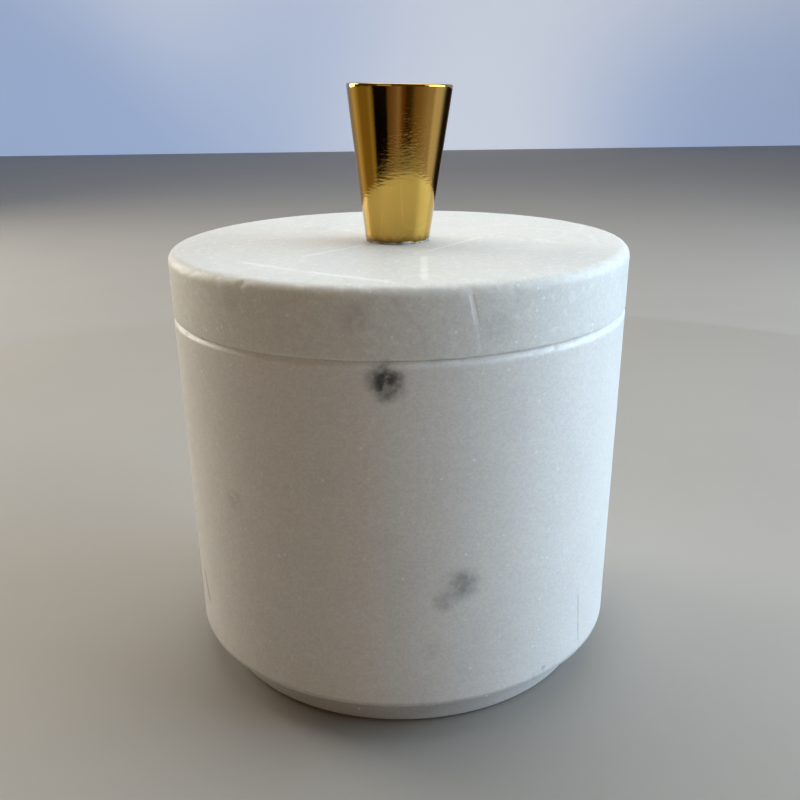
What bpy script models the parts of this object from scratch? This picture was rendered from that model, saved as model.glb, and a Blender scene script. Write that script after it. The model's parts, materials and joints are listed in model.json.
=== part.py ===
"""Powder jar: a turned marble jar, a marble disc lid and a brass knob bolted through the lid.

The jar stands on the plane z = 0 with its turning axis on +Z. Lengths are in metres.
Every round piece is a half profile in the XZ plane, turned about Z by a Screw modifier. A profile
starts at the top, runs down the outer side, and comes back through any bore or hollow.
"""

import math

import bmesh
import bpy

MM = 0.001

# Driving dimensions
BODY_RADIUS = 50.0 * MM          # jar and lid have the same outer radius
WALL_THICKNESS = 8.0 * MM
FLOOR_THICKNESS = 9.0 * MM       # stone between the foot's underside and the cavity
FOOT_RADIUS = 44.8 * MM
FOOT_HEIGHT = 7.1 * MM
BODY_HEIGHT = 73.7 * MM          # from the foot's ledge to the rim
LID_THICKNESS = 13.5 * MM
SPIGOT_DEPTH = 5.0 * MM          # the lid's boss that drops into the mouth
KNOB_HEIGHT = 31.8 * MM
KNOB_TOP_RADIUS = 11.25 * MM
KNOB_BASE_RADIUS = 7.0 * MM

# Fits
SEAT_GAP = 0.3 * MM              # between two pieces that rest on each other
SPIGOT_CLEARANCE = 0.8 * MM      # around the boss, so that the lid drops in freely

# Edges
RIM_CHAMFER = 0.9 * MM
MOUTH_CHAMFER = 0.6 * MM
BODY_LOWER_CHAMFER = 0.7 * MM
FOOT_CHAMFER = 0.7 * MM
CAVITY_FILLET = 5.0 * MM
LID_TOP_CHAMFER = 1.1 * MM
LID_LOWER_CHAMFER = 0.4 * MM
SPIGOT_CHAMFER = 0.6 * MM
KNOB_TOP_CHAMFER = 0.6 * MM
KNOB_BASE_CHAMFER = 0.5 * MM

# Hardware: an M4 pan head screw with a steel washer and a soft washer, in a counterbore
SCREW_RADIUS = 2.0 * MM
SCREW_GRIP = 10.0 * MM           # length inside the knob
SCREW_TIP_CHAMFER = 0.4 * MM
SCREW_HEAD_RADIUS = 4.0 * MM
SCREW_HEAD_HEIGHT = 2.6 * MM
DRIVE_LENGTH = 4.4 * MM
DRIVE_WIDTH = 1.0 * MM
DRIVE_DEPTH = 1.3 * MM
CLEARANCE_RADIUS = SCREW_RADIUS + SEAT_GAP
TAPPED_DEPTH = 13.0 * MM
DRILL_POINT = 1.2 * MM
WASHER_RADIUS = 5.0 * MM
WASHER_THICKNESS = 0.8 * MM
CUSHION_RADIUS = 5.6 * MM
CUSHION_THICKNESS = 0.8 * MM
COUNTERBORE_RADIUS = 6.6 * MM
COUNTERBORE_DEPTH = 5.5 * MM

# Self-adhesive pads under the foot
PAD_RADIUS = 6.0 * MM
PAD_THICKNESS = 1.0 * MM
PAD_CHAMFER = 0.2 * MM
PAD_CIRCLE_RADIUS = 33.0 * MM
PAD_COUNT = 4

# Levels along the axis, from the standing plane up
FOOT_BOTTOM = PAD_THICKNESS + SEAT_GAP
LEDGE = FOOT_BOTTOM + FOOT_HEIGHT
RIM = LEDGE + BODY_HEIGHT
CAVITY_FLOOR = FOOT_BOTTOM + FLOOR_THICKNESS
LID_BOTTOM = RIM + SEAT_GAP
LID_TOP = LID_BOTTOM + LID_THICKNESS
SPIGOT_BOTTOM = LID_BOTTOM - SPIGOT_DEPTH
COUNTERBORE_TOP = SPIGOT_BOTTOM + COUNTERBORE_DEPTH
KNOB_BASE = LID_TOP + SEAT_GAP
KNOB_TOP = KNOB_BASE + KNOB_HEIGHT
CUSHION_TOP = COUNTERBORE_TOP - SEAT_GAP
CUSHION_BOTTOM = CUSHION_TOP - CUSHION_THICKNESS
WASHER_TOP = CUSHION_BOTTOM - SEAT_GAP
WASHER_BOTTOM = WASHER_TOP - WASHER_THICKNESS
SCREW_HEAD_TOP = WASHER_BOTTOM - SEAT_GAP
SCREW_HEAD_BOTTOM = SCREW_HEAD_TOP - SCREW_HEAD_HEIGHT
SCREW_TIP = KNOB_BASE + SCREW_GRIP

# Radii across the axis
CAVITY_RADIUS = BODY_RADIUS - WALL_THICKNESS
SPIGOT_RADIUS = CAVITY_RADIUS - SPIGOT_CLEARANCE

# Facets around a full turn
STONE_STEPS = 72
KNOB_STEPS = 48
HARDWARE_STEPS = 32
PAD_STEPS = 24

# Material name: base colour, roughness, metallic
FINISHES = {
    "marble": ((0.83, 0.83, 0.81), 0.35, 0.0),
    "brass": ((0.78, 0.57, 0.25), 0.22, 1.0),
    "steel": ((0.62, 0.62, 0.60), 0.35, 1.0),
    "cushion": ((0.05, 0.05, 0.05), 0.80, 0.0),
    "pad": ((0.10, 0.10, 0.10), 0.85, 0.0),
}


def clear_scene():
    """Remove everything that the scene holds."""
    for obj in list(bpy.data.objects):
        bpy.data.objects.remove(obj, do_unlink=True)


def new_collection(name):
    """Add a collection to the scene."""
    collection = bpy.data.collections.new(name)
    bpy.context.scene.collection.children.link(collection)
    return collection


def make_material(name):
    """Return the named finish as a Principled material."""
    color, roughness, metallic = FINISHES[name]
    material = bpy.data.materials.new(name)
    material.use_nodes = True
    shader = material.node_tree.nodes["Principled BSDF"]
    shader.inputs["Base Color"].default_value = (*color, 1.0)
    shader.inputs["Roughness"].default_value = roughness
    shader.inputs["Metallic"].default_value = metallic
    material.diffuse_color = (*color, 1.0)
    return material


def arc(center, radius, start_degrees, end_degrees, segments):
    """Points on an arc in the profile plane, both ends included."""
    points = []
    for index in range(segments + 1):
        angle = math.radians(start_degrees + (end_degrees - start_degrees) * index / segments)
        points.append((center[0] + radius * math.cos(angle), center[1] + radius * math.sin(angle)))
    return points


def turned(name, profile, steps, material, collection, ring=False):
    """Turn a half profile of (radius, height) points about Z. A ring's profile closes on itself."""
    shape = bmesh.new()
    vertices = [shape.verts.new((radius, 0.0, height)) for radius, height in profile]
    for first, second in zip(vertices, vertices[1:]):
        shape.edges.new((first, second))
    if ring:
        shape.edges.new((vertices[-1], vertices[0]))
    mesh = bpy.data.meshes.new(name)
    shape.to_mesh(mesh)
    shape.free()
    mesh.materials.append(material)
    obj = bpy.data.objects.new(name, mesh)
    collection.objects.link(obj)
    screw = obj.modifiers.new("Turn", 'SCREW')
    screw.axis = 'Z'
    screw.angle = math.tau
    screw.steps = steps
    screw.render_steps = steps
    screw.use_merge_vertices = True
    screw.merge_threshold = 0.00001
    screw.use_smooth_shade = True
    normals = obj.modifiers.new("Flat faces stay flat", 'WEIGHTED_NORMAL')
    normals.keep_sharp = True
    return obj


def build_jar_body(material, collection):
    """The jar: one turned stone with a cavity, an eased rim and a recessed foot."""
    fillet_center = (CAVITY_RADIUS - CAVITY_FILLET, CAVITY_FLOOR + CAVITY_FILLET)
    profile = [
        (CAVITY_RADIUS + MOUTH_CHAMFER, RIM),
        (BODY_RADIUS - RIM_CHAMFER, RIM),
        (BODY_RADIUS, RIM - RIM_CHAMFER),
        (BODY_RADIUS, LEDGE + BODY_LOWER_CHAMFER),
        (BODY_RADIUS - BODY_LOWER_CHAMFER, LEDGE),
        (FOOT_RADIUS, LEDGE),
        (FOOT_RADIUS, FOOT_BOTTOM + FOOT_CHAMFER),
        (FOOT_RADIUS - FOOT_CHAMFER, FOOT_BOTTOM),
        (0.0, FOOT_BOTTOM),
    ]
    inside = [(0.0, CAVITY_FLOOR)]
    inside += arc(fillet_center, CAVITY_FILLET, -90.0, 0.0, 4)
    inside.append((CAVITY_RADIUS, RIM - MOUTH_CHAMFER))
    # The run starts on the axis at the cavity's floor, climbs the inner wall, and then goes over
    # the rim and down the outer side to the axis again.
    return turned("jar_body", inside + profile, STONE_STEPS, material, collection)


def build_lid(material, collection):
    """The disc lid with its locating spigot, the screw's hole and the counterbore under it."""
    profile = [
        (CLEARANCE_RADIUS, LID_TOP),
        (BODY_RADIUS - LID_TOP_CHAMFER, LID_TOP),
        (BODY_RADIUS, LID_TOP - LID_TOP_CHAMFER),
        (BODY_RADIUS, LID_BOTTOM + LID_LOWER_CHAMFER),
        (BODY_RADIUS - LID_LOWER_CHAMFER, LID_BOTTOM),
        (SPIGOT_RADIUS, LID_BOTTOM),
        (SPIGOT_RADIUS, SPIGOT_BOTTOM + SPIGOT_CHAMFER),
        (SPIGOT_RADIUS - SPIGOT_CHAMFER, SPIGOT_BOTTOM),
        (COUNTERBORE_RADIUS, SPIGOT_BOTTOM),
        (COUNTERBORE_RADIUS, COUNTERBORE_TOP),
        (CLEARANCE_RADIUS, COUNTERBORE_TOP),
    ]
    return turned("lid", profile, STONE_STEPS, material, collection, ring=True)


def build_knob(material, collection):
    """The tapered knob, wider at its flat top, with a blind tapped hole in its base."""
    profile = [
        (0.0, KNOB_TOP),
        (KNOB_TOP_RADIUS - KNOB_TOP_CHAMFER, KNOB_TOP),
        (KNOB_TOP_RADIUS, KNOB_TOP - KNOB_TOP_CHAMFER),
        (KNOB_BASE_RADIUS, KNOB_BASE + KNOB_BASE_CHAMFER),
        (KNOB_BASE_RADIUS - KNOB_BASE_CHAMFER, KNOB_BASE),
        (CLEARANCE_RADIUS, KNOB_BASE),
        (CLEARANCE_RADIUS, KNOB_BASE + TAPPED_DEPTH),
        (0.0, KNOB_BASE + TAPPED_DEPTH + DRILL_POINT),
    ]
    return turned("knob", profile, KNOB_STEPS, material, collection)


def build_drive_cutters(cutters):
    """Two crossed bars that cut the cross recess into the screw head's underside."""
    bars = []
    for name, length, width in (
        ("drive_cutter_x", DRIVE_LENGTH, DRIVE_WIDTH),
        ("drive_cutter_y", DRIVE_WIDTH, DRIVE_LENGTH),
    ):
        shape = bmesh.new()
        bmesh.ops.create_cube(shape, size=1.0)
        bmesh.ops.scale(shape, vec=(length, width, 2.0 * DRIVE_DEPTH), verts=shape.verts)
        mesh = bpy.data.meshes.new(name)
        shape.to_mesh(mesh)
        shape.free()
        bar = bpy.data.objects.new(name, mesh)
        bar.location.z = SCREW_HEAD_BOTTOM
        bar.hide_render = True
        bar.display_type = 'WIRE'
        cutters.objects.link(bar)
        bars.append(bar)
    return bars


def build_screw(material, collection, cutters):
    """The pan head screw, head down in the counterbore, its shank up through lid and knob."""
    crown = SCREW_HEAD_HEIGHT * 0.5
    profile = [
        (0.0, SCREW_TIP),
        (SCREW_RADIUS - SCREW_TIP_CHAMFER, SCREW_TIP),
        (SCREW_RADIUS, SCREW_TIP - SCREW_TIP_CHAMFER),
        (SCREW_RADIUS, SCREW_HEAD_TOP),
        (SCREW_HEAD_RADIUS, SCREW_HEAD_TOP),
    ]
    profile += arc((SCREW_HEAD_RADIUS - crown, SCREW_HEAD_BOTTOM + crown), crown, 0.0, -90.0, 4)
    profile.append((0.0, SCREW_HEAD_BOTTOM))
    screw = turned("knob_screw", profile, HARDWARE_STEPS, material, collection)
    for bar in build_drive_cutters(cutters):
        cut = screw.modifiers.new("Cross recess", 'BOOLEAN')
        cut.operation = 'DIFFERENCE'
        cut.solver = 'EXACT'
        cut.object = bar
    return screw


def build_washer(name, radius, top, bottom, material, collection):
    """A flat ring around the screw's shank."""
    profile = [(CLEARANCE_RADIUS, top), (radius, top), (radius, bottom), (CLEARANCE_RADIUS, bottom)]
    return turned(name, profile, HARDWARE_STEPS, material, collection, ring=True)


def build_pads(material, collection):
    """The round pads under the foot, spaced evenly between the X and Y axes."""
    profile = [
        (0.0, PAD_THICKNESS),
        (PAD_RADIUS, PAD_THICKNESS),
        (PAD_RADIUS, PAD_CHAMFER),
        (PAD_RADIUS - PAD_CHAMFER, 0.0),
        (0.0, 0.0),
    ]
    first = turned("base_pad_1", profile, PAD_STEPS, material, collection)
    pads = [first]
    for number in range(2, PAD_COUNT + 1):
        pad = first.copy()
        pad.name = f"base_pad_{number}"
        collection.objects.link(pad)
        pads.append(pad)
    for index, pad in enumerate(pads):
        angle = math.tau * (index + 0.5) / PAD_COUNT
        pad.location.x = PAD_CIRCLE_RADIUS * math.cos(angle)
        pad.location.y = PAD_CIRCLE_RADIUS * math.sin(angle)
    return pads


def parent_lid_assembly(pieces, collection):
    """Hang the lid and all that is fixed to it on an empty at the lid's seat, which lifts along Z."""
    lift = bpy.data.objects.new("lid_lift", None)
    lift.location.z = LID_BOTTOM
    lift.empty_display_size = BODY_RADIUS
    collection.objects.link(lift)
    for piece in pieces:
        piece.parent = lift
        piece.location.z -= LID_BOTTOM


def main():
    """Build the powder jar."""
    clear_scene()
    parts = new_collection("powder_jar")
    cutters = new_collection("cutters")
    finish = {name: make_material(name) for name in FINISHES}

    build_jar_body(finish["marble"], parts)
    build_pads(finish["pad"], parts)
    lid_assembly = [
        build_lid(finish["marble"], parts),
        build_knob(finish["brass"], parts),
        build_screw(finish["steel"], parts, cutters),
        build_washer("screw_washer", WASHER_RADIUS, WASHER_TOP, WASHER_BOTTOM, finish["steel"], parts),
        build_washer("cushion_washer", CUSHION_RADIUS, CUSHION_TOP, CUSHION_BOTTOM, finish["cushion"], parts),
    ]
    parent_lid_assembly(lid_assembly, parts)


main()
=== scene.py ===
"""Looks of the powder jar: a turned marble jar and disc lid with a polished brass knob.

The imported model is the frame. Each sub-assembly below is a class that models its pieces around
that frame and dresses them. Lengths are in metres and +Z is up along the turning axis.
"""

from __future__ import annotations

import json
import logging
import math
from dataclasses import dataclass, field
from enum import Enum
from typing import Callable, Optional, Sequence, Union

import bmesh
import bpy
from mathutils import Matrix, Vector

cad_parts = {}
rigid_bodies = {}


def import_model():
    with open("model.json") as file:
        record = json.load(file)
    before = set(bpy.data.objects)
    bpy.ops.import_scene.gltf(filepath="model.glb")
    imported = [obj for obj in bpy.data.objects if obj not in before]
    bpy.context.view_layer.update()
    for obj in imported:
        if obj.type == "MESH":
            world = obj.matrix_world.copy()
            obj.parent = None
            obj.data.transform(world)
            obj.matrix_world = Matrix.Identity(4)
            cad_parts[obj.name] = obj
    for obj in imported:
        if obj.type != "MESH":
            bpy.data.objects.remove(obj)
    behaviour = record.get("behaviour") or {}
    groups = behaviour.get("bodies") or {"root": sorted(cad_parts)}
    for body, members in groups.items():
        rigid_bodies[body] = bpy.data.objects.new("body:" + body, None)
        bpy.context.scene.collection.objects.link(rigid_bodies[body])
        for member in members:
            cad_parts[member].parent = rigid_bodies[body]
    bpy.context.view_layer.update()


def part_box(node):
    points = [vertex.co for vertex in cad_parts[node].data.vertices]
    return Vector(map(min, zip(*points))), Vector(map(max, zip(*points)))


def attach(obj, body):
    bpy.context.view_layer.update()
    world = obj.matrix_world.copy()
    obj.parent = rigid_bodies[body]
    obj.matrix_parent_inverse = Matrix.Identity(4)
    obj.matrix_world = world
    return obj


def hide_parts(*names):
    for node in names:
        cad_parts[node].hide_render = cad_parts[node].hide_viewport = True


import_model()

LOG = logging.getLogger("powder_jar")
MM = 0.001
SEAM_SLOPE = math.radians(0.40)     # the rim and the lid's seat rise a little towards +X
Point = tuple[float, float, float]
Value = Union[float, Point, bpy.types.NodeSocket]


def mm(x: float, y: float, z: float) -> Point:
    """Return a place given in millimetres as one in metres."""
    return (x * MM, y * MM, z * MM)


# ---------------------------------------------------------------------------------------------
# Modelling
# ---------------------------------------------------------------------------------------------


class Pick(Enum):
    """What a selection is made of."""

    VERTICES = "VERT"
    EDGES = "EDGE"
    FACES = "FACE"


def deselect_all() -> None:
    """Leave nothing selected and nothing active."""
    for obj in bpy.context.view_layer.objects:
        obj.select_set(False)
    bpy.context.view_layer.objects.active = None


def make_active(piece: bpy.types.Object) -> None:
    """Select just this piece and make it the active one.

    Args:
        piece: the piece.
    """
    deselect_all()
    piece.select_set(True)
    bpy.context.view_layer.objects.active = piece


def name_new_piece(name: str) -> bpy.types.Object:
    """Name the primitive that was just added, and put its place into its mesh.

    Args:
        name: the piece's name.

    Returns:
        The piece, with its object at the origin.
    """
    piece = bpy.context.view_layer.objects.active
    piece.name = name
    piece.data.name = name
    bpy.ops.object.transform_apply(location=True, rotation=True, scale=True)
    return piece


def add_cylinder(name: str, radius: float, bottom: float, top: float, sides: int) -> bpy.types.Object:
    """Add a capped cylinder on the turning axis.

    Args:
        name: the piece's name.
        radius: its radius.
        bottom: height of its lower cap.
        top: height of its upper cap.
        sides: facets around it.

    Returns:
        The new piece.
    """
    deselect_all()
    bpy.ops.mesh.primitive_cylinder_add(
        vertices=sides, radius=radius, depth=top - bottom, end_fill_type='NGON',
        location=(0.0, 0.0, (bottom + top) / 2.0),
    )
    return name_new_piece(name)


class Bench:
    """One piece in edit mode, whose parts are picked by their place and worked by operators."""

    TOLERANCE = 0.02 * MM

    def __init__(self, piece: bpy.types.Object) -> None:
        """Take the piece that is to be worked."""
        self.piece = piece

    def __enter__(self) -> "Bench":
        """Open the piece in edit mode.

        Returns:
            The bench.
        """
        make_active(self.piece)
        bpy.ops.object.mode_set(mode='EDIT')
        return self

    def __exit__(self, *_: object) -> None:
        """Put the piece back in object mode."""
        bpy.ops.object.mode_set(mode='OBJECT')

    def near(self, first: float, second: float) -> bool:
        """Tell whether two lengths are the same within the bench's tolerance."""
        return abs(first - second) < self.TOLERANCE

    def pick(self, kind: Pick, wanted: Callable[[object], bool]) -> None:
        """Select just what the test accepts.

        Args:
            kind: whether vertices, edges or faces are picked.
            wanted: the test on one of them.
        """
        bpy.ops.mesh.select_mode(type=kind.value)
        bpy.ops.mesh.select_all(action='DESELECT')
        mesh = bmesh.from_edit_mesh(self.piece.data)
        items = {Pick.VERTICES: mesh.verts, Pick.EDGES: mesh.edges, Pick.FACES: mesh.faces}[kind]
        picked = [item for item in items if wanted(item)]
        if not picked:
            raise ValueError(f"{self.piece.name}: nothing is there to pick")
        for item in picked:
            item.select_set(True)
        mesh.select_flush_mode()
        bmesh.update_edit_mesh(self.piece.data)

    def cap(self, *heights: float) -> None:
        """Pick the flat many-sided faces at some heights.

        Args:
            heights: where the faces lie.
        """

        def is_cap(face: bmesh.types.BMFace) -> bool:
            """Tell whether a face is a cap at one of the heights.

            Args:
                face: the face to test.

            Returns:
                True for such a cap.
            """
            level = face.calc_center_median().z
            return len(face.verts) > 4 and any(self.near(level, height) for height in heights)

        self.pick(Pick.FACES, is_cap)

    def rings(self, *places: tuple[float, float]) -> None:
        """Pick round edges.

        Args:
            places: the (radius, height) of each ring.
        """

        def on_ring(edge: bmesh.types.BMEdge) -> bool:
            """Tell whether both ends lie on one of the rings.

            Args:
                edge: the edge to test.

            Returns:
                True where they do.
            """
            return any(
                all(self.near(v.co.z, height) and self.near(v.co.xy.length, radius) for v in edge.verts)
                for radius, height in places
            )

        self.pick(Pick.EDGES, on_ring)

    def uprights(self, low: float, high: float, low_radius: float, high_radius: float) -> None:
        """Pick the edges that run up a wall.

        Args:
            low: least height that an edge may reach.
            high: greatest height.
            low_radius: least distance from the axis.
            high_radius: greatest distance.
        """

        def runs_up(edge: bmesh.types.BMEdge) -> bool:
            """Tell whether an edge climbs the wall and lies wholly in it.

            Args:
                edge: the edge to test.

            Returns:
                True for such an edge.
            """
            first, second = (v.co for v in edge.verts)
            inside = all(
                low - self.TOLERANCE < co.z < high + self.TOLERANCE
                and low_radius - self.TOLERANCE < co.xy.length < high_radius + self.TOLERANCE
                for co in (first, second)
            )
            return inside and abs(first.z - second.z) > 5.0 * self.TOLERANCE

        self.pick(Pick.EDGES, runs_up)

    def inset(self, width: float) -> None:
        """Inset the picked cap, which leaves the inner face picked."""
        bpy.ops.mesh.inset(thickness=width, use_even_offset=True)

    def extrude(self, rise: float) -> None:
        """Extrude the picked cap along the axis."""
        bpy.ops.mesh.extrude_region_move(TRANSFORM_OT_translate={"value": (0.0, 0.0, rise)})

    def bevel(self, width: float, segments: int, profile: float = 0.5) -> None:
        """Round the picked edges.

        Args:
            width: width of the rounding.
            segments: facets across it.
            profile: 0.5 for a round edge, towards 0.25 for a flat chamfer.
        """
        bpy.ops.mesh.bevel(
            offset=width, segments=segments, profile=profile, affect='EDGES', clamp_overlap=False,
        )

    def slope(self, angle: float, height: float) -> None:
        """Turn what is picked about a level line through the axis, which lifts its +X side.

        Args:
            angle: how far it turns.
            height: height of that line.
        """
        bpy.ops.transform.rotate(
            value=angle, orient_axis='Y', center_override=(0.0, 0.0, height), orient_type='GLOBAL',
        )

    def divide(self, cuts: int) -> None:
        """Divide the picked edges evenly."""
        bpy.ops.mesh.subdivide(number_cuts=cuts)

    def bore(self, low: float, high: float) -> None:
        """Join the caps at two heights by a hole, once both are as wide as it.

        Args:
            low: height of the lower cap.
            high: height of the upper cap.
        """
        self.cap(low, high)
        bpy.ops.mesh.delete(type='ONLY_FACE')
        self.pick(Pick.EDGES, lambda e: e.is_boundary)
        bpy.ops.mesh.bridge_edge_loops()


def group_vertices(piece: bpy.types.Object, name: str, wanted: Callable[[Vector], bool]) -> str:
    """Gather the vertices whose place passes a test.

    Args:
        piece: the piece that they belong to.
        name: the vertex group's name.
        wanted: the test on a vertex's place.

    Returns:
        The group's name.
    """
    group = piece.vertex_groups.new(name=name)
    group.add([v.index for v in piece.data.vertices if wanted(v.co)], 1.0, 'REPLACE')
    return name


def displace(piece: bpy.types.Object, texture: bpy.types.Texture, strength: float, middle: float,
             group: str) -> None:
    """Move a group of vertices along their normals by a solid texture, for good.

    Args:
        piece: the piece to shape.
        texture: the texture, read in the piece's own space.
        strength: how far its full range moves a vertex.
        middle: the texture's value that leaves a vertex in place.
        group: name of the vertex group that moves.
    """
    make_active(piece)
    modifier = piece.modifiers.new("Hand work", 'DISPLACE')
    modifier.texture = texture
    modifier.texture_coords = 'LOCAL'
    modifier.direction = 'NORMAL'
    modifier.strength = strength
    modifier.mid_level = middle
    modifier.vertex_group = group
    bpy.ops.object.modifier_apply(modifier=modifier.name)


def soft_texture(name: str, size: float) -> bpy.types.Texture:
    """Make a smooth solid noise.

    Args:
        name: the texture's name.
        size: size of its swells.

    Returns:
        The texture.
    """
    texture = bpy.data.textures.new(name, 'CLOUDS')
    texture.noise_scale = size
    texture.noise_depth = 1
    return texture


def chip_texture(name: str, size: float, start: float, full: float) -> bpy.types.Texture:
    """Return a noise that is nought nearly everywhere and rises in a few small places.

    Args:
        name: the texture's name.
        size: size of its swells.
        start: noise value at which a chip begins.
        full: noise value at which it is at its deepest.

    Returns:
        The texture.
    """
    texture = soft_texture(name, size)
    texture.noise_depth = 2
    texture.use_color_ramp = True
    ramp = texture.color_ramp
    ramp.elements[0].position = start
    ramp.elements[0].color = (0.0, 0.0, 0.0, 1.0)
    ramp.elements[1].position = full
    ramp.elements[1].color = (1.0, 1.0, 1.0, 1.0)
    return texture


@dataclass(frozen=True)
class Edge:
    """A round outer edge of a turned piece: its height and the width of its rounding."""

    height: float
    rounding: float


def knock_edges(piece: bpy.types.Object, radius: float, upper: Edge, lower: Edge, size: float,
                depth: float) -> None:
    """Chip a turned piece's outer edges in a few small places.

    Args:
        piece: the piece.
        radius: its outer radius.
        upper: the edge at the top of its wall.
        lower: the edge at the foot of its wall.
        size: size of the chips' swells.
        depth: depth of the deepest chip.
    """

    def on_edge(co: Vector) -> bool:
        """Tell whether a vertex lies within the rounding of either edge.

        Args:
            co: the vertex's place.

        Returns:
            True where it does.
        """
        reach = co.xy.length
        at_upper = co.z > upper.height - 0.85 * upper.rounding and reach > radius - 0.95 * upper.rounding
        at_lower = co.z < lower.height + 0.8 * lower.rounding and reach > radius - 0.6 * lower.rounding
        return at_upper or at_lower

    edges = group_vertices(piece, "edges", on_edge)
    displace(piece, chip_texture("chips", size, 0.60, 0.78), -depth, 0.0, edges)


def finish_piece(
    piece: bpy.types.Object, material: bpy.types.Material, body: str,
    nodes: Sequence[str] = (), crease: float = 32.0,
) -> bpy.types.Object:
    """Shade a finished piece, dress it and fix it to its body.

    Args:
        piece: the finished mesh.
        material: its finish.
        body: the CAD body that it rides on.
        nodes: CAD nodes that it stands for.
        crease: angle in degrees past which an edge stays crisp.

    Returns:
        The piece.
    """
    make_active(piece)
    bpy.ops.object.shade_smooth_by_angle(angle=math.radians(crease))
    piece.data.materials.clear()
    piece.data.materials.append(material)
    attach(piece, body)
    if nodes:
        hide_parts(*nodes)
    LOG.info("%s: %d faces on body %s", piece.name, len(piece.data.polygons), body)
    return piece


# ---------------------------------------------------------------------------------------------
# Node wiring
# ---------------------------------------------------------------------------------------------


class Wiring:
    """A node tree with short calls for the nodes that the finishes are wired from."""

    def __init__(self, tree: bpy.types.NodeTree) -> None:
        """Take the tree that is to be wired."""
        self.tree = tree

    def add(self, kind: str, **settings: object) -> bpy.types.Node:
        """Add a node.

        Args:
            kind: the node's type.
            settings: properties to set on it.

        Returns:
            The node.
        """
        node = self.tree.nodes.new(kind)
        for name, value in settings.items():
            setattr(node, name, value)
        return node

    def feed(self, socket: bpy.types.NodeSocket, value: Value) -> None:
        """Link a socket into an input, or set the input's own value.

        Args:
            socket: the input.
            value: another node's output, or a constant.
        """
        if isinstance(value, bpy.types.NodeSocket):
            self.tree.links.new(value, socket)
        elif isinstance(value, (int, float)) and socket.type in ('VECTOR', 'RGBA'):
            size = len(socket.default_value)
            socket.default_value = (value,) * size
        elif socket.type == 'RGBA' and len(value) == 3:
            socket.default_value = (*value, 1.0)
        else:
            socket.default_value = value

    def math(self, operation: str, first: Value, second: Value = 0.0,
             clamp: bool = False) -> bpy.types.NodeSocket:
        """Wire a Math node.

        Args:
            operation: the node's operation.
            first: its first value.
            second: its second value.
            clamp: keep the result between 0 and 1.

        Returns:
            The result's socket.
        """
        node = self.add('ShaderNodeMath', operation=operation, use_clamp=clamp)
        self.feed(node.inputs[0], first)
        self.feed(node.inputs[1], second)
        return node.outputs[0]

    def plus(self, first: Value, second: Value, clamp: bool = False) -> bpy.types.NodeSocket:
        """Wire a sum and return it."""
        return self.math('ADD', first, second, clamp)

    def minus(self, first: Value, second: Value) -> bpy.types.NodeSocket:
        """Wire a difference and return it."""
        return self.math('SUBTRACT', first, second)

    def times(self, first: Value, second: Value) -> bpy.types.NodeSocket:
        """Wire a product and return it."""
        return self.math('MULTIPLY', first, second)

    def over(self, first: Value, second: Value) -> bpy.types.NodeSocket:
        """Wire a quotient and return it."""
        return self.math('DIVIDE', first, second)

    def vector(self, operation: str, first: Value, second: Value = (0.0, 0.0, 0.0)) -> bpy.types.Node:
        """Wire a Vector Math node.

        Args:
            operation: the node's operation.
            first: its first vector.
            second: its second vector, or the factor of a scaling.

        Returns:
            The node.
        """
        node = self.add('ShaderNodeVectorMath', operation=operation)
        self.feed(node.inputs[0], first)
        self.feed(node.inputs['Scale' if operation == 'SCALE' else 1], second)
        return node

    def split(self, vector: Value) -> bpy.types.bpy_prop_collection:
        """Wire a Separate XYZ node.

        Args:
            vector: the vector.

        Returns:
            The node's outputs X, Y and Z.
        """
        node = self.add('ShaderNodeSeparateXYZ')
        self.feed(node.inputs[0], vector)
        return node.outputs

    def axis_distance(self, place: Value) -> bpy.types.NodeSocket:
        """Wire a place's distance from the turning axis and return it."""
        flat = self.vector('MULTIPLY', place, (1.0, 1.0, 0.0)).outputs[0]
        return self.vector('LENGTH', flat).outputs['Value']

    def noise(self, vector: Value, scale: Value, detail: float = 2.0,
              roughness: float = 0.5) -> bpy.types.Node:
        """Wire a solid Noise Texture.

        Args:
            vector: the place.
            scale: swells in a metre.
            detail: octaves.
            roughness: how strong the finer octaves are.

        Returns:
            The node.
        """
        node = self.add('ShaderNodeTexNoise', noise_dimensions='3D')
        self.feed(node.inputs['Vector'], vector)
        self.feed(node.inputs['Scale'], scale)
        node.inputs['Detail'].default_value = detail
        node.inputs['Roughness'].default_value = roughness
        return node

    def cells(self, vector: Value, scale: Value) -> bpy.types.Node:
        """Wire a solid Voronoi Texture.

        Args:
            vector: the place.
            scale: cells in a metre.

        Returns:
            The node.
        """
        node = self.add('ShaderNodeTexVoronoi', voronoi_dimensions='3D', feature='F1')
        self.feed(node.inputs['Vector'], vector)
        self.feed(node.inputs['Scale'], scale)
        return node

    def lots(self, cells: bpy.types.Node) -> bpy.types.bpy_prop_collection:
        """Wire the three random numbers that each cell draws.

        Args:
            cells: the Voronoi Texture.

        Returns:
            A Separate Color node's outputs.
        """
        node = self.add('ShaderNodeSeparateColor')
        self.feed(node.inputs[0], cells.outputs['Color'])
        return node.outputs

    def spread(self, value: Value, low: Value, high: Value, to_low: Value = 0.0, to_high: Value = 1.0,
               smooth: bool = True) -> bpy.types.NodeSocket:
        """Map a range of values onto another, clamped.

        Args:
            value: the value to map.
            low: start of its range.
            high: end of its range.
            to_low: what the start becomes.
            to_high: what the end becomes.
            smooth: ease both ends.

        Returns:
            The mapped value's socket.
        """
        kind = 'SMOOTHSTEP' if smooth else 'LINEAR'
        node = self.add('ShaderNodeMapRange', interpolation_type=kind, clamp=True)
        for name, number in (
            ('Value', value), ('From Min', low), ('From Max', high), ('To Min', to_low), ('To Max', to_high),
        ):
            self.feed(node.inputs[name], number)
        return node.outputs['Result']

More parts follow.
